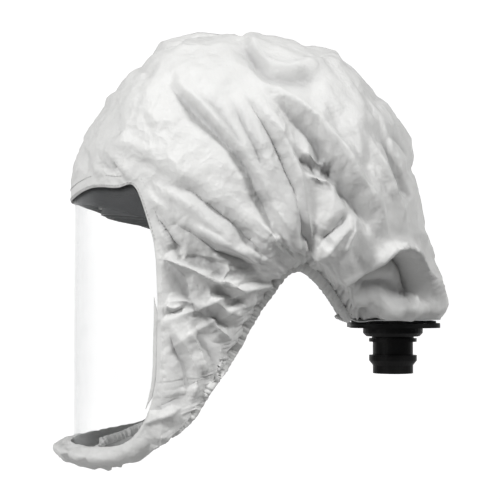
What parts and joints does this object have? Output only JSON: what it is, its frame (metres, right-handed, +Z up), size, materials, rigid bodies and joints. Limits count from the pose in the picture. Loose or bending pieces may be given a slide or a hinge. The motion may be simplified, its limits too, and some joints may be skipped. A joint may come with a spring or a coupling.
{
  "type": "powered air respirator hood",
  "caption": "Loose-fitting soft respirator hood with a clear curved visor, elastic neck opening, ratchet head suspension and a swivelling black hose inlet at the nape.",
  "frame": {"origin": "centre of the headband, where the wearer's head holds the hood", "axes": "+Z up, -Y the way the wearer faces, +X the wearer's left"},
  "size_m": [0.2382, 0.2884, 0.3198],
  "materials": {
    "coated_cloth": "coated non-woven, crinkled, slight sheen",
    "channel_cloth": "soft non-woven lining",
    "elastic": "knitted elastic",
    "visor": "clear thin plastic sheet",
    "foam": "dark grey cloth-faced foam",
    "grey_plastic": "moulded, satin",
    "white_plastic": "moulded, satin",
    "black_plastic": "moulded, satin",
    "knob_rubber": "soft ribbed grip",
    "gasket_rubber": "matt",
    "steel": "plated"
  },
  "bodies": {
    "root": {"crown_panel": "coated_cloth", "side_panel_left": "coated_cloth", "side_panel_right": "coated_cloth", "chin_panel": "coated_cloth", "nape_panel": "coated_cloth", "neck_hem": "coated_cloth", "neck_elastic": "elastic", "visor": "visor", "visor_tape_left": "coated_cloth", "visor_tape_right": "coated_cloth", "brow_pad": "foam", "brow_clip_left": "white_plastic", "brow_clip_right": "white_plastic", "headband": "grey_plastic", "forehead_pad": "foam", "crown_strap": "grey_plastic", "crown_peg_left": "white_plastic", "crown_peg_right": "white_plastic", "nape_plate": "white_plastic", "ratchet_cover": "white_plastic", "air_channel": "channel_cloth", "inlet_flange": "black_plastic", "flange_gasket": "gasket_rubber", "clamp_plate": "black_plastic", "clamp_screw_1": "steel", "clamp_screw_2": "steel", "clamp_screw_3": "steel", "clamp_screw_4": "steel"},
    "knob": {"pinion": "white_plastic", "size_knob": "knob_rubber", "knob_screw": "steel"},
    "strap_left": {"nape_strap_left": "grey_plastic"},
    "strap_right": {"nape_strap_right": "grey_plastic"},
    "spigot": {"hose_spigot": "black_plastic", "spigot_seal": "gasket_rubber", "retaining_clip": "steel"}
  },
  "joints": [
    {"name": "inlet_swivel", "type": "hinge", "parent": "root", "child": "spigot", "pos_m": [0, 0.119, -0.09], "axis": [0, 0, 1], "continuous": true},
    {"name": "size_knob_turn", "type": "hinge", "parent": "root", "child": "knob", "pos_m": [0, 0.09309, -0.01308], "axis": [0, 0.9903, -0.1392], "range_deg": [-110, 110]},
    {"name": "strap_left_slide", "type": "hinge", "parent": "root", "child": "strap_left", "pos_m": [0, 0.0099, -0.00139], "axis": [0, 0.1392, 0.9903], "range_deg": [-7, 7]},
    {"name": "strap_right_slide", "type": "hinge", "parent": "root", "child": "strap_right", "pos_m": [0, 0.0099, -0.00139], "axis": [0, 0.1392, 0.9903], "range_deg": [-7, 7]}
  ],
  "couplings": [
    {"joint": "strap_left_slide", "follows": "size_knob_turn", "ratio": -0.060096},
    {"joint": "strap_right_slide", "follows": "size_knob_turn", "ratio": 0.058685}
  ]
}
